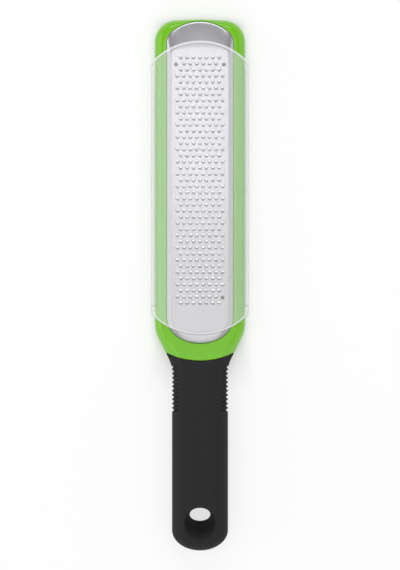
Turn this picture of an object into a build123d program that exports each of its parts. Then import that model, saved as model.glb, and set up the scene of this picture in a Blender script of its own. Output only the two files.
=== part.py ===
from build123d import *

import os
from math import asin, atan2, cos, pi, radians, sin, tan

os.makedirs("parts", exist_ok=True)

# A rasp zester in millimetres. It lies on its back, as it is laid down in a drawer: the toothed
# face looks up (+Z), the tip of the head points to +Y and the handle to -Y. The origin is on the
# surface it lies on, under the middle of its length and width.

# Lengths along the tool, from the tip of the head to the end of the handle
head_length = 178.5
neck_length = 29.5
handle_length = 104.0

# Handle, a bar with full round sides and a flat above and below
handle_width = 32.9
handle_height = 24.0
handle_end_crown_radius = 22.0
handle_end_corner_radius = 10.5
neck_rise_start = 7.5
neck_rise_length = 30.0
neck_burial = 0.8

# Head, a moulded frame that is widest part of the way up
head_width = 53.3
head_height = 14.2
head_widest_height = 6.0
head_foot_inset = 1.0
tip_crown_radius = 200.0
tip_corner_radius = 13.0
neck_bend_inset = 4.7
neck_bend_reach = 4.4

# Top of the frame round the steel plate
rim_land = 0.2
neck_top_width = 23.0
neck_under_width = 21.0

# Walls of the frame and the tray that is open below
frame_wall = 2.4
tray_web = 2.0
nose_length = 12.5
tray_crown_radius = 150.0
tray_corner_radius = 9.0
tray_tail_margin = 2.0
window_width = 32.4
window_ledge = 3.4
window_crown_radius = 150.0
window_corner_radius = 4.5

# Steel plate, a shallow pan turned down all round
plate_width = 39.4
plate_length = 188.9
plate_tip_margin = 1.6
plate_sheet = 0.6
plate_tip_crown_radius = 26.0
plate_tip_corner_radius = 10.0
plate_tail_crown_radius = 25.0
plate_tail_corner_radius = 15.5
plate_skirt = 1.1
plate_seat_depth = 1.0
plate_rise = 2.7
crease_width = 34.0
crease_tip_run = 14.4
crease_tip_crown_radius = 150.0
crease_tip_corner_radius = 5.0
crease_tail_run = 4.2
crease_tail_crown_radius = 30.0
crease_tail_corner_radius = 10.0
crease_bevel = 0.4
seat_clearance = 0.1

# Teeth, half-moon flaps raised from the sheet with their free edge towards the handle
tooth_rows = 41
tooth_columns = 7
tooth_row_pitch = 3.59
tooth_column_pitch = 3.75
first_row_margin = 20.6
tooth_width = 2.1
tooth_edge_width = 0.9
tooth_reach = 0.95
tooth_lift = 0.58
slot_reach = 1.4
slot_end_width = 1.4

# Round pilot holes in the corners of the toothed field
pilot_diameter = 2.3
pilot_outset = 0.85

# Seam between the hard neck and the soft grip, an arc in plan that bows towards the handle
seam_setback = 21.9
seam_radius = 45.0

# Tang, the hard core inside the grip
tang_width = 24.0
tang_height = 12.0
tang_corner = 4.0
tang_length = 71.0
tang_base = 5.0

# Flexible fins on both sides of the grip, left between grooves
fin_count = 11
fin_pitch = 2.51
fin_thickness = 1.1
fin_groove_depth = 1.25
fin_groove_flat = 9.0
fin_groove_peak = 26.0
first_groove_setback = 25.2

# Hang hole, two slanted scoops that meet inside the grip
hole_end_distance = 21.2
scoop_mouth_radius = 10.0
scoop_floor_radius = 3.8
scoop_floor_offset = 0.25
scoop_past_middle = 10.0
scoop_length = 24.5
scoop_tilt = 13.0

# Cover, a thin arched moulding that slides on from the tip and hooks under both rails
cover_width = 57.1
cover_wall = 1.2
cover_crown_height = 25.8
cover_crown_radius = 40.0
cover_corner_radius = 5.0
cover_tip_margin = 13.4
cover_length = 172.1
cover_end_slant = 45.0
cover_skirt_height = 9.0
cover_skirt_round = 3.0
cover_lip_bottom = 1.4
cover_lip_gap = 49.2

# Non-slip foot under the tip
foot_width = 36.0
foot_length = 7.6
foot_tip_margin = 4.6
foot_corner = 3.0
foot_height = 3.0
foot_seat_depth = 0.8

# Reach of the cutting tools past the faces that they cut
overrun = 1.0

# Places worked out from the sizes
total_length = head_length + neck_length + handle_length
tip_y = total_length / 2
neck_start_y = tip_y - head_length
handle_start_y = neck_start_y - neck_length
handle_end_y = -total_length / 2
handle_middle = handle_height / 2
head_bottom = foot_height
head_top = head_bottom + head_height
widest_z = head_bottom + head_widest_height
plate_tip_y = tip_y - plate_tip_margin
plate_tail_y = plate_tip_y - plate_length
plate_skirt_bottom = head_top - plate_seat_depth
plate_shoulder = plate_skirt_bottom + plate_skirt
plate_top = plate_shoulder + plate_rise
first_row_y = plate_tip_y - first_row_margin
hole_y = handle_end_y + hole_end_distance

# Angles, from straight down to straight up, at which the frame's rounded side is drawn
side_angles = (-90, -40, 0, 25, 50, 70, 90)


def blend(start, end, share):
    return start + (end - start) * share


def arched_end(half_width, apex_y, crown_radius, corner_radius, way):
    """Draws a crown arc between two corner arcs, from +X to -X, and gives the two end points."""
    corner_x = half_width - corner_radius
    centre_distance = crown_radius - corner_radius
    rise = (centre_distance**2 - corner_x**2) ** 0.5
    centre_y = apex_y - way * crown_radius
    corner_y = centre_y + way * rise
    joint_x = corner_x * crown_radius / centre_distance
    joint_y = centre_y + way * rise * crown_radius / centre_distance
    half_turn = atan2(rise, corner_x) / 2
    middle_x = corner_x + corner_radius * cos(half_turn)
    middle_y = corner_y + way * corner_radius * sin(half_turn)
    ThreePointArc((half_width, corner_y), (middle_x, middle_y), (joint_x, joint_y))
    ThreePointArc((joint_x, joint_y), (0, apex_y), (-joint_x, joint_y))
    ThreePointArc((-joint_x, joint_y), (-middle_x, middle_y), (-half_width, corner_y))
    return (half_width, corner_y), (-half_width, corner_y)


def oblong(height, half_width, tip, tip_radii, tail, tail_radii):
    """Face with straight sides and arched ends, flat at the given height."""
    with BuildSketch(Plane.XY.offset(height)) as outline:
        with BuildLine():
            tip_right, tip_left = arched_end(half_width, tip, *tip_radii, way=1)
            tail_right, tail_left = arched_end(half_width, tail, *tail_radii, way=-1)
            Line(tip_left, tail_left)
            Line(tail_right, tip_right)
        make_face()
    return outline.sketch


def frame_outline(height, half_width, tip, crown_radius, corner_radius, neck_half):
    """Outline of the head and neck, from the tip back to where the handle starts."""
    shoulder_y = neck_start_y - neck_bend_inset
    waist_y = handle_start_y + neck_bend_inset
    slope = atan2(half_width - neck_half, shoulder_y - waist_y)
    bend_radius = neck_bend_reach / tan(slope / 2)
    with BuildSketch(Plane.XY.offset(height)) as outline:
        with BuildLine():
            right, left = arched_end(half_width, tip, crown_radius, corner_radius, way=1)
            FilletPolyline(
                left,
                (-half_width, shoulder_y),
                (-neck_half, waist_y),
                (-neck_half, handle_start_y),
                radius=bend_radius,
            )
            Line((-neck_half, handle_start_y), (neck_half, handle_start_y))
            FilletPolyline(
                (neck_half, handle_start_y),
                (neck_half, waist_y),
                (half_width, shoulder_y),
                right,
                radius=bend_radius,
            )
        make_face()
    return outline.sketch


def frame_level(angle):
    """Outline of the frame where its rounded side has turned by this angle."""
    share = cos(radians(angle))
    turn = sin(radians(angle))
    if angle < 0:
        half_width = head_width / 2 - head_foot_inset
        tip = tip_y - head_foot_inset
        crown_radius = tip_crown_radius - head_foot_inset
        corner_radius = tip_corner_radius - head_foot_inset
        neck_half = neck_under_width / 2
        height = widest_z + head_widest_height * turn
    else:
        half_width = plate_width / 2 + rim_land
        tip = plate_tip_y + rim_land
        crown_radius = plate_tip_crown_radius + rim_land
        corner_radius = plate_tip_corner_radius + rim_land
        neck_half = neck_top_width / 2
        height = widest_z + (head_top - widest_z) * turn
    return frame_outline(
        height,
        blend(half_width, head_width / 2, share),
        blend(tip, tip_y, share),
        1 / blend(1 / crown_radius, 1 / tip_crown_radius, share),
        blend(corner_radius, tip_corner_radius, share),
        blend(neck_half, handle_width / 2, share),
    )


# Handle: a bar with round sides, shaped from the side by rises out of the head and a round end
rise_start_y = neck_start_y - neck_rise_start
rise_end_y = rise_start_y - neck_rise_length
rise_middle_y = (rise_start_y + rise_end_y) / 2
cap_start_y = handle_end_y + handle_middle
buried_top = head_top - neck_burial
buried_bottom = head_bottom + neck_burial
with BuildPart() as handle:
    with BuildSketch(Plane.XZ.offset(-rise_start_y)):
        with Locations((0, handle_middle)):
            SlotOverall(handle_width, handle_height)
    extrude(amount=rise_start_y - handle_end_y)
    with BuildSketch(Plane.YZ.offset(-handle_width / 2)):
        with BuildLine():
            top_middle = (rise_middle_y, (buried_top + handle_height) / 2)
            bottom_middle = (rise_middle_y, buried_bottom / 2)
            TangentArc((rise_start_y, buried_top), top_middle, tangent=(-1, 0))
            TangentArc((rise_end_y, handle_height), top_middle, tangent=(1, 0))
            Line((rise_end_y, handle_height), (cap_start_y, handle_height))
            ThreePointArc(
                (cap_start_y, handle_height),
                (handle_end_y, handle_middle),
                (cap_start_y, 0),
            )
            Line((cap_start_y, 0), (rise_end_y, 0))
            TangentArc((rise_end_y, 0), bottom_middle, tangent=(1, 0))
            TangentArc((rise_start_y, buried_bottom), bottom_middle, tangent=(-1, 0))
            Line((rise_start_y, buried_bottom), (rise_start_y, buried_top))
        make_face()
    extrude(amount=handle_width, mode=Mode.INTERSECT)
    with BuildSketch():
        with BuildLine():
            right, left = arched_end(
                handle_width / 2,
                handle_end_y,
                handle_end_crown_radius,
                handle_end_corner_radius,
                way=-1,
            )
            Polyline(
                left,
                (-handle_width / 2, rise_start_y),
                (handle_width / 2, rise_start_y),
                right,
            )
        make_face()
    extrude(amount=handle_height, mode=Mode.INTERSECT)

# Outer form of the whole hard and soft body: head, neck and handle in one
with BuildPart() as form:
    loft(sections=[frame_level(angle) for angle in side_angles], ruled=True)
    add(handle.part)

# Everything behind the seam belongs to the soft grip
seam_y = neck_start_y - seam_setback
seam_centre_y = seam_y + seam_radius
with BuildPart() as behind_seam:
    with BuildSketch(Plane.XY.offset(-overrun)):
        with Locations((0, (seam_centre_y + handle_end_y - overrun) / 2)):
            Rectangle(head_width, seam_centre_y - handle_end_y + overrun)
        with Locations((0, seam_centre_y)):
            Circle(seam_radius, mode=Mode.SUBTRACT)
    extrude(amount=handle_height + 2 * overrun)

# Tang: a rounded bar that runs from the neck into the grip
tang_end_y = seam_y - tang_length
with BuildPart() as tang:
    with BuildSketch(Plane.XZ.offset(-neck_start_y)):
        with Locations((0, tang_base + tang_height / 2)):
            RectangleRounded(tang_width, tang_height, tang_corner)
    extrude(amount=neck_start_y - tang_end_y)


# Foot: a soft pad pressed into the underside of the nose
foot_y = tip_y - foot_tip_margin - foot_length / 2
with BuildPart() as foot:
    with BuildSketch():
        with Locations((0, foot_y)):
            RectangleRounded(foot_width, foot_length, foot_corner)
    extrude(amount=foot_height + foot_seat_depth)
foot.part.label = "foot"
export_step(foot.part, "parts/foot.step")

# Body: head frame, neck and tang in one hard moulding
tray_top = plate_skirt_bottom - tray_web
tray_turn = asin((tray_top - widest_z) / (head_top - widest_z))
tray_half = head_width / 2 - frame_wall
tray_top_half = blend(plate_width / 2 + rim_land, head_width / 2, cos(tray_turn)) - frame_wall
tray_radii = (tray_crown_radius, tray_corner_radius)
tray_tip_y = tip_y - nose_length
tray_tail_y = neck_start_y + tray_tail_margin
window_radii = (window_crown_radius, window_corner_radius)
window_tip_y = plate_tip_y - crease_tip_run - window_ledge
window_tail_y = tray_tail_y + window_ledge
with BuildPart() as body:
    add(form.part)
    add(behind_seam.part, mode=Mode.SUBTRACT)
    add(tang.part)
    tray_sections = []
    for height, half in (
        (head_bottom - overrun, tray_half),
        (widest_z, tray_half),
        (tray_top, tray_top_half),
    ):
        tray_sections.append(oblong(height, half, tray_tip_y, tray_radii, tray_tail_y, tray_radii))
    loft(sections=tray_sections, ruled=True, mode=Mode.SUBTRACT)
    window = oblong(
        tray_top - overrun,
        window_width / 2,
        window_tip_y,
        window_radii,
        window_tail_y,
        window_radii,
    )
    extrude(window, amount=head_top - tray_top + 2 * overrun, mode=Mode.SUBTRACT)
    seat = oblong(
        plate_skirt_bottom,
        plate_width / 2 + seat_clearance,
        plate_tip_y + seat_clearance,
        (plate_tip_crown_radius + seat_clearance, plate_tip_corner_radius + seat_clearance),
        plate_tail_y - seat_clearance,
        (plate_tail_crown_radius + seat_clearance, plate_tail_corner_radius + seat_clearance),
    )
    extrude(seat, amount=plate_seat_depth + overrun, mode=Mode.SUBTRACT)
    with BuildSketch(Plane.XY.offset(head_bottom)):
        with Locations((0, foot_y)):
            RectangleRounded(foot_width, foot_length, foot_corner)
    extrude(amount=foot_seat_depth, mode=Mode.SUBTRACT)
body.part.label = "body"
export_step(body.part, "parts/body.step")

# Grip: the soft moulding over the tang
first_groove_y = neck_start_y - first_groove_setback
groove_width = fin_pitch - fin_thickness
groove_reach = handle_width / 2 - fin_groove_depth
with BuildPart() as grip:
    add(form.part)
    add(behind_seam.part, mode=Mode.INTERSECT)
    add(tang.part, mode=Mode.SUBTRACT)
    for number in range(fin_count):
        groove_y = first_groove_y - number * fin_pitch + groove_width / 2
        with BuildSketch(Plane.XZ.offset(-groove_y)):
            with Locations((0, handle_middle)):
                Rectangle(head_width, 2 * handle_height)
                Polygon(
                    (groove_reach, fin_groove_flat / 2),
                    (0, fin_groove_peak),
                    (-groove_reach, fin_groove_flat / 2),
                    (-groove_reach, -fin_groove_flat / 2),
                    (0, -fin_groove_peak),
                    (groove_reach, -fin_groove_flat / 2),
                    align=None,
                    mode=Mode.SUBTRACT,
                )
        extrude(amount=groove_width, mode=Mode.SUBTRACT)
    for way, turn in ((1, scoop_tilt), (-1, scoop_tilt + 180)):
        floor_y = hole_y + way * scoop_floor_offset
        floor_z = handle_middle - way * scoop_past_middle
        with Locations(Location((0, floor_y, floor_z), (turn, 0, 0))):
            Cone(
                scoop_floor_radius,
                scoop_mouth_radius,
                scoop_length,
                align=(Align.CENTER, Align.CENTER, Align.MIN),
                mode=Mode.SUBTRACT,
            )
grip.part.label = "grip"
export_step(grip.part, "parts/grip.step")

# Cover: section of the arch with a hooked lip at each lower edge, cut slanting at both ends
cover_tip_y = tip_y - cover_tip_margin
cover_tail_y = cover_tip_y - cover_length
crown_centre = cover_crown_height - cover_crown_radius


def arch_section(inset, bottom):
    """Closed half-round section of the cover, shrunk by an inset."""
    crown_radius = cover_crown_radius - inset
    corner_radius = cover_corner_radius - inset
    side = cover_width / 2 - inset
    corner_x = side - corner_radius
    centre_distance = crown_radius - corner_radius
    corner_z = crown_centre + (centre_distance**2 - corner_x**2) ** 0.5
    joint_x = corner_x * crown_radius / centre_distance
    joint_z = crown_centre + (corner_z - crown_centre) * crown_radius / centre_distance
    with BuildSketch(Plane.XZ.offset(-cover_tip_y)) as section:
        with BuildLine():
            ThreePointArc(
                (-joint_x, joint_z), (0, crown_centre + crown_radius), (joint_x, joint_z)
            )
            TangentArc(
                (joint_x, joint_z),
                (side, corner_z),
                tangent=(corner_z - crown_centre, -corner_x),
            )
            Polyline((side, corner_z), (side, bottom), (-side, bottom), (-side, corner_z))
            TangentArc(
                (-joint_x, joint_z),
                (-side, corner_z),
                tangent=(crown_centre - corner_z, -corner_x),
            )
        make_face()
    return section.sketch


skirt_drop = cover_crown_height - cover_skirt_height
skirt_setback = skirt_drop * sin(radians(cover_end_slant)) / cos(radians(cover_end_slant))
with BuildPart() as cover:
    extrude(arch_section(0, cover_lip_bottom), amount=cover_length)
    inside = arch_section(cover_wall, cover_lip_bottom + cover_wall)
    extrude(inside, amount=cover_length, mode=Mode.SUBTRACT)
    with BuildSketch(Plane.XZ.offset(-cover_tip_y)):
        with Locations((0, cover_lip_bottom)):
            Rectangle(cover_lip_gap, 2 * cover_wall + overrun)
    extrude(amount=cover_length, mode=Mode.SUBTRACT)
    with BuildSketch(Plane.YZ.offset(-cover_width / 2)):
        with BuildLine():
            Polyline(
                (cover_tip_y, cover_crown_height),
                (cover_tail_y, cover_crown_height),
                (cover_tail_y + skirt_setback, cover_skirt_height),
                (cover_tail_y + skirt_setback, cover_lip_bottom),
                (cover_tip_y - skirt_setback, cover_lip_bottom),
                (cover_tip_y - skirt_setback, cover_skirt_height),
                close=True,
            )
        make_face()
        fillet(vertices().sort_by(Axis.Y)[0:4], cover_skirt_round)
    extrude(amount=cover_width, mode=Mode.INTERSECT)
cover.part.label = "cover"
export_step(cover.part, "parts/cover.step")


def crease_outline(height, outset):
    """Outline of the bend where the flat of the plate turns down, grown by an outset."""
    return oblong(
        height,
        crease_width / 2 + outset,
        plate_tip_y - crease_tip_run + outset,
        (crease_tip_crown_radius + outset, crease_tip_corner_radius + outset),
        plate_tail_y + crease_tail_run - outset,
        (crease_tail_crown_radius + outset, crease_tail_corner_radius + outset),
    )


def rim_outline(height, outset):
    """Outline of the plate's turned-down edge, grown by an outset."""
    return oblong(
        height,
        plate_width / 2 + outset,
        plate_tip_y + outset,
        (plate_tip_crown_radius + outset, plate_tip_corner_radius + outset),
        plate_tail_y - outset,
        (plate_tail_crown_radius + outset, plate_tail_corner_radius + outset),
    )


def plate_form(inset, below):
    """Sections of the plate's skin, shrunk all round by an inset and reaching further below."""
    lowered = inset / 2
    return [
        rim_outline(plate_skirt_bottom - below, -inset),
        rim_outline(plate_shoulder - lowered, -inset),
        crease_outline(plate_top - crease_bevel - inset, crease_bevel - lowered),
        crease_outline(plate_top - inset, -crease_bevel - lowered),
    ]


# One tooth: a wedge from its hinge on the origin to its raised cutting edge
with BuildPart() as tooth:
    with BuildSketch(Plane.YZ.offset(-tooth_width / 2)):
        Polygon((0, 0), (-tooth_reach, tooth_lift), (0, -plate_sheet), align=None)
    extrude(amount=tooth_width)
    with BuildSketch(Plane.XY.offset(-plate_sheet)):
        Polygon(
            (tooth_width / 2, 0),
            (-tooth_width / 2, 0),
            (-tooth_edge_width / 2, -tooth_reach),
            (tooth_edge_width / 2, -tooth_reach),
            align=None,
        )
    extrude(amount=plate_sheet + tooth_lift, mode=Mode.INTERSECT)

# Places of the teeth: rows of seven and of eight in turn, less those whose place a pilot hole takes
tooth_places = []
for row in range(tooth_rows):
    count = tooth_columns + row % 2
    first, last = 0, count
    if row == 1:
        first, last = 1, count - 1
    if row == tooth_rows - 2:
        last = count - 1
    for column in range(first, last):
        x = (column - (count - 1) / 2) * tooth_column_pitch
        tooth_places.append((x, first_row_y - row * tooth_row_pitch))
pilot_half = tooth_columns / 2 * tooth_column_pitch
pilot_row_y = first_row_y - tooth_row_pitch - tooth_width / 4
last_pilot_y = first_row_y - (tooth_rows - 2) * tooth_row_pitch - tooth_width / 4

with BuildPart() as blank:
    loft(sections=plate_form(0, 0), ruled=True)
    loft(sections=plate_form(plate_sheet, overrun), ruled=True, mode=Mode.SUBTRACT)
    with BuildSketch(Plane.XY.offset(plate_top)):
        with Locations(*tooth_places):
            Polygon(
                (tooth_width / 2, 0),
                (-tooth_width / 2, 0),
                (-slot_end_width / 2, -slot_reach),
                (slot_end_width / 2, -slot_reach),
                align=None,
            )
        with Locations(
            (-pilot_half - pilot_outset, pilot_row_y),
            (pilot_half + pilot_outset, pilot_row_y),
            (pilot_half, last_pilot_y),
        ):
            Circle(pilot_diameter / 2)
    extrude(amount=-plate_sheet, mode=Mode.SUBTRACT, clean=False)

# Each tooth shares one face with the sheet, the hinge at the end of its slot
teeth = [tooth.part.moved(Location((x, y, plate_top))) for x, y in tooth_places]
with BuildPart() as plate:
    add(blank.part.fuse(*teeth, glue=True), clean=False)
plate.part.label = "plate"
export_step(plate.part, "parts/plate.step")
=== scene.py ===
from math import atan2, cos, hypot, pi, radians, sin, sqrt

import bmesh
import bpy
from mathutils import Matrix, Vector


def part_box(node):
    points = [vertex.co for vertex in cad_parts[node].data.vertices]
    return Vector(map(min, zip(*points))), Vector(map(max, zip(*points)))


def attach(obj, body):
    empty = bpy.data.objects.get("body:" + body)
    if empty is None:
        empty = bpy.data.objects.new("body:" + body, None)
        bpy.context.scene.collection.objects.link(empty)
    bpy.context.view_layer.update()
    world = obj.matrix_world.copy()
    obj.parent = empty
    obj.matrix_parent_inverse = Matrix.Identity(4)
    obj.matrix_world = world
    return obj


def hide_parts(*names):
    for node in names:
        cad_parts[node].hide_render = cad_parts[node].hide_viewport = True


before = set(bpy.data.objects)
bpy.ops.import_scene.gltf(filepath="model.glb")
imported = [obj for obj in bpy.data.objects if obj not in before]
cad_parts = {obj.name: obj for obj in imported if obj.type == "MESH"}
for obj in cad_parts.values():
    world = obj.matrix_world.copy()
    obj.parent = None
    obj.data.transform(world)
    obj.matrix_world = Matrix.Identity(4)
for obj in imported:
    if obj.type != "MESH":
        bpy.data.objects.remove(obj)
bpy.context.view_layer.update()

# Head frame and neck: one hard moulding in bright green ABS that carries the steel plate, with a
# tray below the plate for the zest. It comes glossy from the mould and is rounded all along its
# sides, and the soft handle is moulded on behind a curved seam.
mm = 0.001


def in_mm(corners):
    """Box corners of a CAD node in millimetres."""
    return [corner / mm for corner in corners]


def blend(start, end, share):
    return start + (end - start) * share


def ease(share):
    """Rises smoothly from 0 to 1, level at both ends."""
    share = min(max(share, 0), 1)
    return (1 - cos(pi * share)) / 2


def arched_half(half, apex, crown, corner, way, steps):
    """Right half of an arched end from its straight side to the middle: a corner arc and a crown."""
    corner_x = half - corner
    reach = crown - corner
    rise = sqrt(reach**2 - corner_x**2)
    turn = atan2(rise, corner_x)
    centre_y = apex - way * crown
    points = []
    for step in range(steps + 1):
        angle = turn * step / steps
        points.append((corner_x + corner * cos(angle), centre_y + way * (rise + corner * sin(angle))))
    for step in range(1, steps + 1):
        angle = turn + (pi / 2 - turn) * step / steps
        points.append((crown * cos(angle), centre_y + way * crown * sin(angle)))
    return points


def oblong(half, tip, tip_radii, tail, tail_radii, steps=12):
    """Closed outline with straight sides and arched ends, anticlockwise from the right side."""
    tip_right = arched_half(half, tip, *tip_radii, way=1, steps=steps)
    tail_right = arched_half(half, tail, *tail_radii, way=-1, steps=steps)
    tip_left = [(-x, y) for x, y in reversed(tip_right[:-1])]
    tail_left = [(-x, y) for x, y in tail_right[:-1]]
    return tip_right + tip_left + tail_left + list(reversed(tail_right))


def skin(name, rings, cap=False):
    """Mesh stretched over rings of points in millimetres, which no operator can loft."""
    shape = bmesh.new()
    rows = []
    for ring in rings:
        rows.append([shape.verts.new((x * mm, y * mm, z * mm)) for x, y, z in ring])
    count = len(rows[0])
    for before, after in zip(rows, rows[1:]):
        for place in range(count):
            following = (place + 1) % count
            shape.faces.new((before[place], before[following], after[following], after[place]))
    if cap:
        shape.faces.new(reversed(rows[0]))
        shape.faces.new(rows[-1])
    bmesh.ops.remove_doubles(shape, verts=shape.verts, dist=1e-6)
    bmesh.ops.dissolve_degenerate(shape, edges=shape.edges, dist=1e-7)
    bmesh.ops.recalc_face_normals(shape, faces=shape.faces)
    mesh = bpy.data.meshes.new(name)
    shape.to_mesh(mesh)
    shape.free()
    piece = bpy.data.objects.new(name, mesh)
    bpy.context.scene.collection.objects.link(piece)
    return piece


def pick(piece):
    """Makes this the only selected and active object, for the operators."""
    bpy.ops.object.select_all(action="DESELECT")
    piece.select_set(True)
    bpy.context.view_layer.objects.active = piece


def cut(piece, cutter):
    """Takes one solid out of another and removes it."""
    pick(piece)
    tool = piece.modifiers.new("cut", "BOOLEAN")
    tool.operation = "DIFFERENCE"
    tool.solver = "EXACT"
    tool.object = cutter
    bpy.ops.object.modifier_apply(modifier=tool.name)
    bpy.data.objects.remove(cutter)


def smooth(piece, angle=30):
    pick(piece)
    bpy.ops.object.shade_smooth_by_angle(angle=radians(angle))


def prism(name, outline, low, high):
    """Upright solid on an outline, between two heights."""
    return skin(name, [[(x, y, z) for x, y in outline] for z in (low, high)], cap=True)


def linear(hex_colour):
    """Linear red, green, blue and a full alpha from an sRGB hex colour."""
    values = [int(hex_colour[place : place + 2], 16) / 255 for place in (1, 3, 5)]
    return [v / 12.92 if v <= 0.04045 else ((v + 0.055) / 1.055) ** 2.4 for v in values] + [1]


def add_node(tree, kind, links=(), **settings):
    """Adds a node, sets its sockets by name or its own properties, and links its inputs."""
    node = tree.nodes.new(kind)
    for name, value in settings.items():
        if hasattr(node, name):
            setattr(node, name, value)
        else:
            node.inputs[name.replace("_", " ")].default_value = value
    for source, socket in links:
        tree.links.new(source, node.inputs[socket])
    return node


def new_material(name, **sockets):
    """Material with one Principled shader, whose sockets are set by name."""
    material = bpy.data.materials.new(name)
    material.use_nodes = True
    tree = material.node_tree
    shader = tree.nodes["Principled BSDF"]
    for socket, value in sockets.items():
        shader.inputs[socket.replace("_", " ")].default_value = value
    place = add_node(tree, "ShaderNodeTexCoord").outputs["Object"]
    return material, tree, shader, place


_, body_high = in_mm(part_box("body"))
plate_low, plate_high = in_mm(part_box("plate"))
grip_low, _ = in_mm(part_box("grip"))

tip_y = body_high.y
head_half = body_high.x
foot_rise = 3.0
head_bottom = foot_rise
widest_z = head_bottom + 6.0
head_top = head_bottom + 14.2
foot_inset = 1.0
tip_crown, tip_corner = 200.0, 13.0

plate_half = plate_high.x
plate_tip, plate_tail = plate_high.y, plate_low.y
rim_tip_radii = (26.0, 10.0)
rim_tail_radii = (25.0, 15.5)
rim_land = 0.2

neck_front_y = -22.5
shoulder_y = neck_front_y - 4.7
waist_y = neck_front_y - 24.8
neck_bend = 4.4
handle_half = 16.45
handle_radius = 12.0
rise_start_y = neck_front_y - 9.5
handle_full_y = neck_front_y - 37.5
seam_y = neck_front_y - 21.9
seam_radius = 45.0
side_steps, flat_steps, neck_steps, tip_steps = 16, 8, 28, 14


def neck_half(y):
    """Half width of the neck: a straight taper, rounded where it meets the head and the handle."""
    slope = (head_half - handle_half) / (shoulder_y - waist_y)
    into_shoulder = min(max(shoulder_y + neck_bend - y, 0), 2 * neck_bend)
    into_waist = min(max(waist_y + neck_bend - y, 0), 2 * neck_bend)
    straight = min(max(shoulder_y - neck_bend - y, 0), shoulder_y - waist_y - 2 * neck_bend)
    drop = slope * (into_shoulder**2 / (4 * neck_bend) + straight)
    drop += slope * (into_waist - into_waist**2 / (4 * neck_bend))
    return head_half - drop


def side_point(y, step):
    """Point of the right side at a distance along the tool, from the bottom edge to the top edge."""
    rising = ease((rise_start_y - y) / (rise_start_y - handle_full_y))
    late = ease((seam_y + 2 - y) / (seam_y + 2 - handle_full_y))
    half = neck_half(y)
    middle = blend(widest_z, handle_radius, rising)
    sharp = sin(pi * min(max((neck_front_y - y) / (neck_front_y - handle_full_y), 0), 1)) ** 2
    power = 2 / blend(2, 1.12, sharp)
    angle = radians(blend(-90, 90, step / (2 * side_steps)))
    across = cos(angle) ** power if step not in (0, 2 * side_steps) else 0
    along = abs(sin(angle)) ** power
    if step < side_steps:
        inset = blend(foot_inset, handle_radius, rising)
        return half - inset * (1 - across), middle - along * (middle - blend(head_bottom, 0, rising))
    inset = blend(head_half - plate_half - rim_land, handle_radius, late)
    top = blend(head_top, 2 * handle_radius, rising)
    return half - inset * (1 - across), middle + along * (top - middle)


def seam_at(x):
    return seam_y + seam_radius - sqrt(seam_radius**2 - x**2)


def closed_ring(side):
    """Full ring from its right side: up the right, across the top, down the left, back below."""
    low, high = side[0], side[-1]
    ring = list(side)
    for step in range(1, flat_steps):
        ring.append((blend(high[0], -high[0], step / flat_steps), high[1], high[2]))
    ring += [(-x, y, z) for x, y, z in reversed(side)]
    for step in range(1, flat_steps):
        ring.append((blend(-low[0], low[0], step / flat_steps), low[1], low[2]))
    return ring


def neck_ring(front_y, share, offset=0.0, inset=0.0):
    """Ring part of the way from a straight line across the tool to the seam's arc."""
    side = []
    for step in range(2 * side_steps + 1):
        y = front_y
        # The arc depends on the width and the width on the arc, so a few rounds settle both
        for _ in range(6):
            x, z = side_point(y, step)
            y = blend(front_y, seam_at(x) + offset, share)
        turn = radians(blend(-90, 90, step / (2 * side_steps)))
        side.append((x - inset * cos(turn), y, z - inset * sin(turn)))
    ring = closed_ring(side)
    return [(x, blend(front_y, seam_at(x) + offset, share), z) for x, y, z in ring]


def tip_outline(step):
    """Outline of the head's tip at one height of its rounded side, and that height."""
    angle = radians(blend(-90, 90, step / (2 * side_steps)))
    share = cos(angle)
    if step < side_steps:
        half, tip = head_half - foot_inset, tip_y - foot_inset
        crown, corner = tip_crown - foot_inset, tip_corner - foot_inset
        z = widest_z + (widest_z - head_bottom) * sin(angle)
    else:
        half, tip = plate_half + rim_land, plate_tip + rim_land
        crown, corner = rim_tip_radii[0] + rim_land, rim_tip_radii[1] + rim_land
        z = widest_z + (head_top - widest_z) * sin(angle)
    points = arched_half(
        blend(half, head_half, share),
        blend(tip, tip_y, share),
        1 / blend(1 / crown, 1 / tip_crown, share),
        blend(corner, tip_corner, share),
        way=1,
        steps=tip_steps,
    )
    return [(x, y, z) for x, y in points]


tip_outlines = [tip_outline(step) for step in range(2 * side_steps + 1)]
body_rings = []
seam_bevel = 0.35
end_shares = (0.02, 0.35, 0.7)
seam_ring = neck_ring(neck_front_y, 1, inset=seam_bevel)
for share in end_shares:
    body_rings.append([(x * share, y, blend(widest_z, z, share)) for x, y, z in seam_ring])
body_rings.append(seam_ring)
body_rings.append(neck_ring(neck_front_y, 1, offset=seam_bevel))
for step in range(neck_steps - 1, -1, -1):
    body_rings.append(neck_ring(neck_front_y, step / neck_steps))
for place in range(len(tip_outlines[0])):
    body_rings.append(closed_ring([outline[place] for outline in tip_outlines]))
head_frame = skin("head_frame", body_rings)

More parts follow.
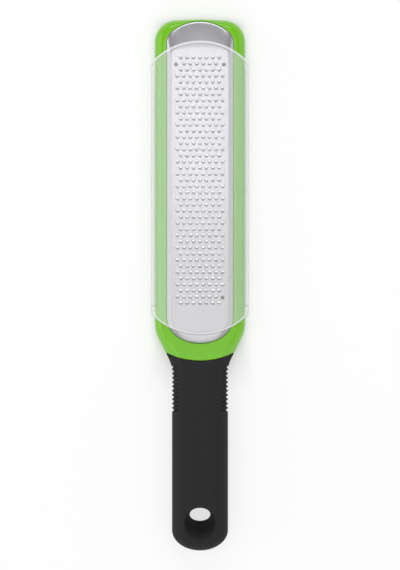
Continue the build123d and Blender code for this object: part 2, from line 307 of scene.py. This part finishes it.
frame_wall = 2.4
tray_web = 2.0
seat_clearance = 0.12
seat_z = head_top - 1.0
tray_top = seat_z - tray_web
nose_length = 12.5
tray_radii = (150.0, 9.0)
tray_tip, tray_tail = tip_y - nose_length, neck_front_y + 2.0
window_half = 16.2
window_ledge = 3.4
window_radii = (150.0, 4.5)
window_tip, window_tail = plate_tip - 14.4 - window_ledge, tray_tail + window_ledge
tray_half = head_half - frame_wall
tray_heights = ((head_bottom - 1, tray_half), (widest_z, tray_half), (tray_top, 22.7))
tray_rings = []
for z, half in tray_heights:
    outline = oblong(half, tray_tip, tray_radii, tray_tail, tray_radii)
    tray_rings.append([(x, y, z) for x, y in outline])
cut(head_frame, skin("tray", tray_rings, cap=True))
window = oblong(window_half, window_tip, window_radii, window_tail, window_radii)
cut(head_frame, prism("window", window, tray_top - 1, head_top + 1))
seat = oblong(
    plate_half + seat_clearance,
    plate_tip + seat_clearance,
    [radius + seat_clearance for radius in rim_tip_radii],
    plate_tail - seat_clearance,
    [radius + seat_clearance for radius in rim_tail_radii],
    steps=20,
)
cut(head_frame, prism("seat", seat, seat_z, head_top + 4))
smooth(head_frame)
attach(head_frame, "zester")
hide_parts("body")

# ABS, injection moulded in a polished mould: an even, saturated green under a clear gloss. The
# mould's faint unevenness lets highlights waver slightly, over about 12 mm.
abs_green, tree, shader, place = new_material("moulded_abs_green", Roughness=0.16, IOR=1.52)
waver = add_node(tree, "ShaderNodeTexNoise", [(place, "Vector")], Scale=1 / (12 * mm), Detail=2)
tone = add_node(
    tree,
    "ShaderNodeMix",
    [(waver.outputs["Fac"], "Factor")],
    data_type="RGBA",
    A=linear("#6CB700"),
    B=linear("#72BD04"),
)
tree.links.new(tone.outputs["Result"], shader.inputs["Base Color"])
relief = add_node(
    tree, "ShaderNodeBump", [(waver.outputs["Fac"], "Height")], Strength=0.2, Distance=0.05 * mm
)
tree.links.new(relief.outputs["Normal"], shader.inputs["Normal"])
head_frame.data.materials.append(abs_green)

# Foot: a soft black pad pressed into the underside of the nose, so that the tip does not slide
# on a board. It keeps its CAD solid.
foot_rubber, tree, shader, place = new_material(
    "moulded_foot_rubber", Base_Color=linear("#1B1B1B"), Roughness=0.75
)
grain = add_node(tree, "ShaderNodeTexNoise", [(place, "Vector")], Scale=1 / (0.8 * mm), Detail=3)
relief = add_node(
    tree, "ShaderNodeBump", [(grain.outputs["Fac"], "Height")], Strength=0.4, Distance=0.05 * mm
)
tree.links.new(relief.outputs["Normal"], shader.inputs["Normal"])
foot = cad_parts["foot"]
foot.data.materials.clear()
foot.data.materials.append(foot_rubber)

# Toothed plate: thin stainless sheet pressed into a shallow pan, with a long ramp at the tip and
# half-moon teeth raised from etched slots, their sharp edges towards the handle. Three round
# pilot holes sit in the corners of the toothed field.
sheet = 0.6
shoulder_z = seat_z + 1.1
plate_top_z = shoulder_z + 2.7
crease_half = 17.0
crease_tip, crease_tail = plate_tip - 14.4, plate_tail + 4.2
crease_tip_radii = (150.0, 5.0)
crease_tail_radii = (30.0, 10.0)


def pan_outline(share, z, steps=16):
    """Outline of the pan part of the way from its rim to the crease round its flat top."""

    def radii(rim, crease):
        return 1 / blend(1 / rim[0], 1 / crease[0], share), blend(rim[1], crease[1], share)

    outline = oblong(
        blend(plate_half, crease_half, share),
        blend(plate_tip, crease_tip, share),
        radii(rim_tip_radii, crease_tip_radii),
        blend(plate_tail, crease_tail, share),
        radii(rim_tail_radii, crease_tail_radii),
        steps=steps,
    )
    return [(x, y, z) for x, y in outline]


# Shares of the way from the rim to the crease, and of the height, over two rounded bends
pan_shares = [(0, -0.2), (0.014, -0.093), (0.056, 0.018), (0.083, 0.06), (0.125, 0.125), (0.5, 0.5)]
bend_share = 0.18
for step in range(9):
    share = blend(1 - bend_share, 1 + bend_share, step / 8)
    pan_shares.append((share, share - (share - 1 + bend_share) ** 2 / (4 * bend_share)))
pan_rings = [pan_outline(0, seat_z + 0.02)]
for share, height_share in pan_shares:
    pan_rings.append(pan_outline(share, blend(shoulder_z, plate_top_z, height_share)))
plate = skin("toothed_plate", pan_rings)

tooth_rows, tooth_columns = 41, 7
row_pitch, column_pitch = 3.59, 3.75
first_row_y = plate_tip - 20.6
tooth_half, tooth_reach, tooth_lift = 1.05, 1.0, 0.62
slot_half, slot_reach, slot_taper = 1.25, 1.95, 0.85
pilot_radius = 1.15
pilot_outset, pilot_setback = 0.85, 1.3
tooth_places = []
for row in range(tooth_rows):
    count = tooth_columns + row % 2
    first, last = 0, count
    if row == 1:
        first, last = 1, count - 1
    if row == tooth_rows - 2:
        last = count - 1
    for column in range(first, last):
        x = (column - (count - 1) / 2) * column_pitch
        tooth_places.append((x, first_row_y - row * row_pitch))
pilot_x = tooth_columns / 2 * column_pitch
pilot_y = first_row_y - row_pitch - pilot_setback
last_pilot_y = first_row_y - (tooth_rows - 2) * row_pitch - pilot_setback
pilot_places = (
    (-pilot_x - pilot_outset, pilot_y),
    (pilot_x + pilot_outset, pilot_y),
    (pilot_x, last_pilot_y),
)


def half_moon(half, reach, steps):
    """Points of a half-moon from its right end round its bulge to its left end."""
    angles = [pi * step / steps for step in range(steps + 1)]
    return [(half * cos(angle), -reach * sin(angle)) for angle in angles]


shape = bmesh.new()
shape.from_mesh(plate.data)
shape.edges.ensure_lookup_table()
top = plate_top_z * mm
edges = [
    edge
    for edge in shape.edges
    if edge.is_boundary and all(abs(vert.co.z - top) < 1e-7 for vert in edge.verts)
]
holes = [[(x + dx, y + dy) for dx, dy in half_moon(slot_half, slot_reach, 10)] for x, y in tooth_places]
for x, y in pilot_places:
    turns = [2 * pi * step / 24 for step in range(24)]
    holes.append([(x + pilot_radius * cos(turn), y + pilot_radius * sin(turn)) for turn in turns])
for hole in holes:
    corners = [shape.verts.new((x * mm, y * mm, top)) for x, y in hole]
    for corner, following in zip(corners, corners[1:] + corners[:1]):
        edges.append(shape.edges.new((corner, following)))
bmesh.ops.triangle_fill(shape, use_beauty=True, edges=edges)
bmesh.ops.recalc_face_normals(shape, faces=shape.faces)
shape.faces.ensure_lookup_table()
flat = max(shape.faces, key=lambda face: face.calc_center_median().z)
if flat.normal.z < 0:
    bmesh.ops.reverse_faces(shape, faces=shape.faces)
shape.to_mesh(plate.data)
shape.free()
pick(plate)
wall = plate.modifiers.new("wall", "SOLIDIFY")
wall.thickness = sheet * mm
wall.offset = -1
bpy.ops.object.modifier_apply(modifier=wall.name)

# The etched slots narrow towards the underside of the sheet
field_half = (tooth_columns / 2 + 0.5) * column_pitch
shape = bmesh.new()
shape.from_mesh(plate.data)
for vert in shape.verts:
    x, y, z = vert.co / mm
    row = round((first_row_y - slot_reach / 2 - y) / row_pitch)
    is_underside = -1.5 * sheet < z - plate_top_z < -sheet / 2
    if not (0 <= row < tooth_rows and abs(x) < field_half and is_underside):
        continue
    row_y = first_row_y - row * row_pitch
    for place_x, place_y in tooth_places:
        if abs(place_y - row_y) < 0.1 and abs(place_x - x) <= slot_half + 0.01:
            vert.co.x = blend(place_x, x, slot_taper) * mm
            vert.co.y = blend(place_y, y, slot_taper) * mm
shape.to_mesh(plate.data)
shape.free()

# Each tooth is modelled once, over its hinge at the origin, and set at every slot
tooth_steps, reach_steps = 8, 3
tooth_rows_of_points = []
for layer in (0, 1):
    order = range(reach_steps + 1) if layer == 0 else range(reach_steps, -1, -1)
    for reach_step in order:
        share = reach_step / reach_steps
        row = []
        for x, y in half_moon(tooth_half, tooth_reach, tooth_steps):
            crown = sqrt(max(0, 1 - (x / tooth_half) ** 2))
            z = tooth_lift * share * crown
            if layer:
                z -= blend(sheet, 0.1, share)
            row.append((x, y * share, z))
        tooth_rows_of_points.append(row)
shape = bmesh.new()
shape.from_mesh(plate.data)
for place_x, place_y in tooth_places:
    rows = []
    for row in tooth_rows_of_points:
        corners = [(x + place_x, y + place_y, z + plate_top_z) for x, y, z in row]
        rows.append([shape.verts.new((x * mm, y * mm, z * mm)) for x, y, z in corners])
    rows.append(rows[0])
    for before, after in zip(rows, rows[1:]):
        for step in range(tooth_steps):
            shape.faces.new((before[step], after[step], after[step + 1], before[step + 1]))
    shape.faces.new([row[0] for row in rows[:-1]])
    shape.faces.new([row[-1] for row in reversed(rows[:-1])])
shape.to_mesh(plate.data)
shape.free()
smooth(plate, 35)
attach(plate, "zester")
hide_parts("plate")

# Stainless steel sheet, brushed to a fine satin: it reflects the room softly, a little more so
# in faint streaks about 0.6 mm wide and 30 mm long that run the length of the plate.
satin_steel, tree, shader, place = new_material("satin_stainless_steel", Metallic=1.0)
stretch = add_node(
    tree,
    "ShaderNodeMapping",
    [(place, "Vector")],
    Location=(31.7, 8.3, 4.1),
    Scale=(1 / (0.6 * mm), 1 / (30 * mm), 1 / (0.6 * mm)),
)
streaks = add_node(
    tree, "ShaderNodeTexNoise", [(stretch.outputs["Vector"], "Vector")], Scale=1.0, Detail=3
)
gloss = add_node(
    tree, "ShaderNodeMapRange", [(streaks.outputs["Fac"], "Value")], To_Min=0.27, To_Max=0.33
)
tree.links.new(gloss.outputs["Result"], shader.inputs["Roughness"])
tone = add_node(
    tree,
    "ShaderNodeMix",
    [(streaks.outputs["Fac"], "Factor")],
    data_type="RGBA",
    A=linear("#BEBDC2"),
    B=linear("#C6C5CA"),
)
tree.links.new(tone.outputs["Result"], shader.inputs["Base Color"])
plate.data.materials.append(satin_steel)

# Grip: black thermoplastic rubber moulded over the tang, soft to the touch, with eleven thin fins
# on each side near the head, and a hang hole scooped out on a slant from both faces.
fin_count, fin_pitch = 11, 2.51
first_groove_y = neck_front_y - 25.9
groove_depth = 1.9
groove_fade_x, groove_full_x = 11.0, 14.6
cap_start_y = grip_low.y + handle_radius


def groove_share(y):
    """How deep the side is sunk between two round-edged fins at a distance along the tool."""
    place = (first_groove_y - y) / fin_pitch
    if not -0.5 < place < fin_count - 0.5:
        return 0
    from_fin = 1 - 2 * abs(place - round(place))
    return from_fin**2.2


def grip_ring(y, scale=1.0):
    side = []
    depth = groove_depth * groove_share(y)
    for step in range(2 * side_steps + 1):
        x, z = side_point(y, step)
        turn = radians(blend(-90, 90, step / (2 * side_steps)))
        sunk = depth * ease((x - groove_fade_x) / (groove_full_x - groove_fade_x))
        x -= sunk * cos(turn)
        z -= sunk * sin(turn)
        side.append((x * scale, y, blend(handle_radius, z, scale)))
    return closed_ring(side)


seam_gap = 0.05
ring_spacing = 0.16
front_steps, shaft_steps, cap_steps = 10, 60, 24
grip_front_y = seam_y - 2.4
grip_rings = []
front_ring = neck_ring(grip_front_y, 1, offset=-seam_gap, inset=seam_bevel)
for share in end_shares:
    grip_rings.append([(x * share, y, blend(handle_radius, z, share)) for x, y, z in front_ring])
grip_rings.append(front_ring)
for step in range(front_steps, 0, -1):
    grip_rings.append(neck_ring(grip_front_y, step / front_steps, offset=-seam_bevel))
y = grip_front_y
while y > first_groove_y - fin_count * fin_pitch:
    grip_rings.append(grip_ring(y))
    y -= ring_spacing
for step in range(1, shaft_steps):
    grip_rings.append(grip_ring(blend(y, cap_start_y, step / shaft_steps)))
for step in range(cap_steps + 1):
    angle = radians(90 * step / cap_steps)
    ring = grip_ring(cap_start_y, max(cos(angle), 0))
    grip_rings.append([(x, cap_start_y - handle_radius * sin(angle), z) for x, _, z in ring])
grip = skin("soft_grip", grip_rings)

hole_y = grip_low.y + 21.2
scoop_radii = (3.8, 10.0)
scoop_length = 24.5
scoop_tilt = radians(13)
scoop_shift, scoop_depth, scoop_sides = 0.25, 10.0, 96
for way in (1, -1):
    floor_y = hole_y + way * scoop_shift
    floor_z = handle_radius - way * scoop_depth
    rings = []
    for share in (0, 1):
        along = scoop_length * share
        radius = blend(*scoop_radii, share)
        centre_y = floor_y - way * along * sin(scoop_tilt)
        centre_z = floor_z + way * along * cos(scoop_tilt)
        ring = []
        for step in range(scoop_sides):
            turn = 2 * pi * step / scoop_sides
            forward = radius * sin(turn)
            y, z = centre_y + forward * cos(scoop_tilt), centre_z + forward * sin(scoop_tilt)
            ring.append((radius * cos(turn), y, z))
        rings.append(ring)
    cut(grip, skin("scoop", rings, cap=True))
pick(grip)
soften = grip.modifiers.new("soften", "REMESH")
soften.mode = "VOXEL"
soften.voxel_size = 0.42 * mm
soften.use_smooth_shade = True
bpy.ops.object.modifier_apply(modifier=soften.name)
relax = grip.modifiers.new("relax", "SMOOTH")
relax.factor = 0.5
relax.iterations = 1
bpy.ops.object.modifier_apply(modifier=relax.name)
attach(grip, "zester")
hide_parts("grip")

# Thermoplastic rubber, moulded matt: near black, with a fine leathery tooth about 0.5 mm wide
# that spreads the highlights.
soft_rubber, tree, shader, place = new_material(
    "moulded_soft_rubber", Roughness=0.6, Specular_IOR_Level=0.06
)
grain = add_node(tree, "ShaderNodeTexNoise", [(place, "Vector")], Scale=1 / (0.5 * mm), Detail=4)
relief = add_node(
    tree, "ShaderNodeBump", [(grain.outputs["Fac"], "Height")], Strength=0.35, Distance=0.04 * mm
)
tree.links.new(relief.outputs["Normal"], shader.inputs["Normal"])
tone = add_node(
    tree,
    "ShaderNodeMix",
    [(grain.outputs["Fac"], "Factor")],
    data_type="RGBA",
    A=linear("#282828"),
    B=linear("#2C2C2C"),
)
tree.links.new(tone.outputs["Result"], shader.inputs["Base Color"])
grip.data.materials.append(soft_rubber)

# Cover: a thin see-through arch that slides on from the tip and hooks under both edges of the
# head. It is moulded in one piece and cut on a slant at both ends.
cover_low, cover_high = in_mm(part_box("cover"))
cover_wall = 1.2
cover_half = cover_high.x
crown_top = cover_high.z
crown_radius, crown_corner = 40.0, 5.0
lip_z = cover_low.z
lip_half = 24.6
cover_tip, cover_tail = cover_high.y, cover_low.y
skirt_z, wall_top_z = 9.0, 14.0
skirt_bend = 1.2


def arch_points(inset, lip_height):
    """Right half of the cover's section from the middle of its crown to the end of its lip."""
    radius, corner = crown_radius - inset, crown_corner - inset
    side = cover_half - inset
    corner_x = side - corner
    rise = sqrt((radius - corner) ** 2 - corner_x**2)
    turn = atan2(rise, corner_x)
    centre_z = crown_top - crown_radius
    points = []
    for step in range(19):
        angle = blend(pi / 2, turn, step / 18)
        points.append((radius * cos(angle), centre_z + radius * sin(angle)))
    for step in range(1, 11):
        angle = turn * (1 - step / 10)
        points.append((corner_x + corner * cos(angle), centre_z + rise + corner * sin(angle)))
    points.append((side, wall_top_z))
    points.append((side, skirt_z + 0.4))
    points.append((side, skirt_z - 0.6))
    points.append((side, lip_height))
    points.append((lip_half, lip_height))
    return points


outer = arch_points(0, lip_z)
inner = arch_points(cover_wall, lip_z + cover_wall)
arch = outer + list(reversed(inner))
arch_left = [(-x, z) for x, z in inner[1:]] + [(-x, z) for x, z in reversed(outer[1:])]
arch_section = arch + arch_left


def slant(z):
    """How far an end is set back at a height: a slanted cut, rounded into the upright skirt."""
    drop = crown_top - skirt_z
    below = crown_top - z
    if abs(below - drop) > skirt_bend:
        return min(below, drop)
    return drop - (drop - below + skirt_bend) ** 2 / (4 * skirt_bend)


edge_width = 0.5
edge_strip = edge_width / (cover_tip - cover_tail)
cover_steps = 40
cover_shares = [0, edge_strip]
cover_shares += [blend(edge_strip, 1 - edge_strip, step / cover_steps) for step in range(1, cover_steps)]
cover_shares += [1 - edge_strip, 1]
cover_rings = []
for share in cover_shares:
    cover_rings.append(
        [(x, blend(cover_tail + slant(z), cover_tip - slant(z), share), z) for x, z in arch_section]
    )
cover = skin("blade_cover", cover_rings)
shape = bmesh.new()
shape.from_mesh(cover.data)
shape.verts.ensure_lookup_table()
shape.faces.ensure_lookup_table()
wall_count = len(outer)
ring_count = len(arch_section)
crown_faces = 25
last_ring = (len(cover_shares) - 1) * ring_count

# A narrow corner strip runs round the outside of the tail and the inside of the tip, in the grey of
# painted shade
for place_in_ring in range(ring_count):
    is_outer = place_in_ring < wall_count - 1 or place_in_ring >= ring_count - wall_count + 1
    strip = 0 if is_outer else last_ring - ring_count
    shape.faces[strip + place_in_ring].material_index = 2
# The outermost bend of the crown, along both sides, in the same painted shade
bend_faces = (25, 26, 27)
for strip in range(0, last_ring, ring_count):
    for bend_face in bend_faces:
        shape.faces[strip + bend_face].material_index = 2
        shape.faces[strip + ring_count - 1 - bend_face].material_index = 2
# Both ends are closed from the outer wall to the inner, and the crown's cut is frosted and carries the
# painted highlight
for first in (0, last_ring):
    ring = shape.verts[first : first + ring_count]
    right_outer, right_inner = ring[:wall_count], ring[2 * wall_count - 1 : wall_count - 1 : -1]
    left_inner = [right_inner[0]] + ring[2 * wall_count : 3 * wall_count - 1]
    left_outer = [right_outer[0]] + ring[: 3 * wall_count - 2 : -1]
    for outer_side, inner_side in ((right_outer, right_inner), (left_outer, left_inner)):
        for place_in_row in range(wall_count - 1):
            outer_edge = outer_side[place_in_row : place_in_row + 2]
            inner_edge = inner_side[place_in_row : place_in_row + 2]
            end_face = shape.faces.new(outer_edge + inner_edge[::-1])
            end_face.material_index = 1 if place_in_row < crown_faces else 0
bmesh.ops.recalc_face_normals(shape, faces=shape.faces)
shape.to_mesh(cover.data)
shape.free()
smooth(cover)
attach(cover, "cover")
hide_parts("cover")

# Clear polypropylene, moulded thin: see-through with a milky haze and soft highlights. Each skin
# of a wall keeps back a seventh of the light. Flow marks 25 mm long cloud its gloss a little.
hazy_plastic, tree, shader, place = new_material(
    "moulded_clear_polypropylene", Base_Color=linear("#F6F8F7"), IOR=1.49, Alpha=0.15
)
stretch = add_node(
    tree,
    "ShaderNodeMapping",
    [(place, "Vector")],
    Scale=(1 / (8 * mm), 1 / (25 * mm), 1 / (8 * mm)),
)
flow = add_node(
    tree, "ShaderNodeTexNoise", [(stretch.outputs["Vector"], "Vector")], Scale=1.0, Detail=2
)
gloss = add_node(
    tree, "ShaderNodeMapRange", [(flow.outputs["Fac"], "Value")], To_Min=0.08, To_Max=0.18
)
tree.links.new(gloss.outputs["Result"], shader.inputs["Roughness"])
cover.data.materials.append(hazy_plastic)

# The same plastic where it was cut at both ends: the slanted face is frosted, with a grain of
# about 0.6 mm, and its whiter, more opaque colour is a painted highlight for the bright line of
# light that the cut gathers.
frosted_painted_highlight_edge, tree, shader, place = new_material(
    "frosted_polypropylene_edge_painted_highlight", Base_Color=linear("#FFFFFF"), IOR=1.49, Alpha=0.6
)
frost = add_node(tree, "ShaderNodeTexNoise", [(place, "Vector")], Scale=1 / (0.6 * mm), Detail=2)
gloss = add_node(
    tree, "ShaderNodeMapRange", [(frost.outputs["Fac"], "Value")], To_Min=0.4, To_Max=0.6
)
tree.links.new(gloss.outputs["Result"], shader.inputs["Roughness"])
cover.data.materials.append(frosted_painted_highlight_edge)

# The small rounded corner beside the cut face and the outermost bend along each side: their grey
# colour is painted shade, for the way these bends turn the light away.
painted_shade_corner, tree, shader, place = new_material(
    "polypropylene_edge_painted_shade", Base_Color=linear("#8E9092"), IOR=1.49, Alpha=0.68
)
frost = add_node(tree, "ShaderNodeTexNoise", [(place, "Vector")], Scale=1 / (0.6 * mm), Detail=2)
gloss = add_node(
    tree, "ShaderNodeMapRange", [(frost.outputs["Fac"], "Value")], To_Min=0.2, To_Max=0.4
)
tree.links.new(gloss.outputs["Result"], shader.inputs["Roughness"])
cover.data.materials.append(painted_shade_corner)

# Floor and light: a plain sheet of matt white laminate, whose fine grain breaks up its faint
# sheen, under a broad soft lamp with softer ones round it.
bpy.ops.object.select_all(action="DESELECT")
floor_size = 6
bpy.ops.mesh.primitive_plane_add(size=floor_size, location=(0, 0, 0))
floor = bpy.context.object
floor.name = "floor"
pale_floor, tree, shader, place = new_material("matt_white_laminate", Base_Color=linear("#F7F7F7"))
grain = add_node(tree, "ShaderNodeTexNoise", [(place, "Vector")], Scale=1 / (2 * mm), Detail=2)
gloss = add_node(
    tree, "ShaderNodeMapRange", [(grain.outputs["Fac"], "Value")], To_Min=0.85, To_Max=0.95
)
tree.links.new(gloss.outputs["Result"], shader.inputs["Roughness"])
# Seen straight or by way of metal and plastic, the floor goes most of the way to white, so that
# the shadow stays but is faint. Close under the head the shadow keeps its full depth, and half a
# metre away the floor is white.
ray = add_node(tree, "ShaderNodeLightPath").outputs
seen = ray["Is Camera Ray"]
for kind in ("Is Glossy Ray", "Is Transmission Ray"):
    seen = add_node(tree, "ShaderNodeMath", [(seen, 0), (ray[kind], 1)], operation="MAXIMUM").outputs[0]
across, along, _ = add_node(tree, "ShaderNodeSeparateXYZ", [(place, "Vector")]).outputs
aside = add_node(tree, "ShaderNodeMath", [(across, 0)], operation="ABSOLUTE").outputs[0]
distance = add_node(tree, "ShaderNodeVectorMath", [(place, 0)], operation="LENGTH").outputs["Value"]
near_white = 0.7
edge_blur = 4.0
shade_tail = 40.0
white_starts = (
    (aside, head_half - edge_blur, head_half + edge_blur, near_white),
    (along, neck_front_y - edge_blur, neck_front_y - shade_tail, near_white),
    (along, tip_y - edge_blur, tip_y + edge_blur, near_white),
    (distance, 250.0, 500.0, 1.0),
)
whiteness = None
for measure, start, end, most in white_starts:
    rise = add_node(
        tree,
        "ShaderNodeMapRange",
        [(measure, "Value")],
        From_Min=start * mm,
        From_Max=end * mm,
        To_Max=most,
    ).outputs["Result"]
    if whiteness:
        links = [(whiteness, 0), (rise, 1)]
        rise = add_node(tree, "ShaderNodeMath", links, operation="MAXIMUM").outputs[0]
    whiteness = rise
share = add_node(tree, "ShaderNodeMath", [(seen, 0), (whiteness, 1)], operation="MULTIPLY")
white = add_node(tree, "ShaderNodeEmission", Strength=1.0)
surface = add_node(
    tree,
    "ShaderNodeMixShader",
    [(share.outputs[0], 0), (shader.outputs["BSDF"], 1), (white.outputs["Emission"], 2)],
)
tree.links.new(surface.outputs["Shader"], tree.nodes["Material Output"].inputs["Surface"])
floor.data.materials.append(pale_floor)

world = bpy.data.worlds.new("studio")
bpy.context.scene.world = world
world.use_nodes = True
world.node_tree.nodes["Background"].inputs["Color"].default_value = (1, 1, 1, 1)
world.node_tree.nodes["Background"].inputs["Strength"].default_value = 0.36


def soft_lamp(name, place, aim, width, depth, power):
    """Soft rectangular lamp at a place in metres, turned towards a point."""
    data = bpy.data.lights.new(name, "AREA")
    data.shape = "RECTANGLE"
    data.size, data.size_y = width, depth
    data.energy = power
    lamp = bpy.data.objects.new(name, data)
    bpy.context.scene.collection.objects.link(lamp)
    lamp.location = place
    across, along, down = [a - b for a, b in zip(aim, place)]
    lamp.rotation_euler = (atan2(hypot(across, along), -down), 0, atan2(-across, along))
    lamp.visible_camera = False


# The broad lamp shows in the flat of the plate, the back lamp on the teeth, and the side lamps
# along the rails. The small one lights the nose.
soft_lamp("overhead_lamp", (0, -0.7, 1.3), (0, -0.7, 0), 2.2, 2.0, 12.6)
soft_lamp("back_lamp", (0, 1.3, 0.75), (0, 0, 0), 1.6, 0.5, 7.5)
soft_lamp("front_lamp", (0, -1.5, 0.7), (0, 0, 0), 2.6, 0.8, 6.0)
soft_lamp("left_lamp", (-1.2, 0, 0.36), (0, 0, 0.36), 1.6, 0.7, 5.0)
soft_lamp("nose_lamp", (0, 0.16, 0.35), (0, 0.16, 0), 0.24, 0.215, 0.16)
soft_lamp("right_lamp", (1.2, 0, 0.36), (0, 0, 0.36), 1.6, 0.7, 2.4)

camera_data = bpy.data.cameras.new("camera")
camera = bpy.data.objects.new("camera", camera_data)
bpy.context.scene.collection.objects.link(camera)
camera_height = 2.5
camera_y = -0.00015
aim_height = 0.012
image_long_side = 0.3347
camera.location = (0, camera_y, camera_height)
camera_data.sensor_width = 36
camera_data.lens = camera_data.sensor_width * (camera_height - aim_height) / image_long_side
camera_data.clip_end = 20
bpy.context.scene.camera = camera
bpy.context.scene.view_settings.view_transform = "Standard"
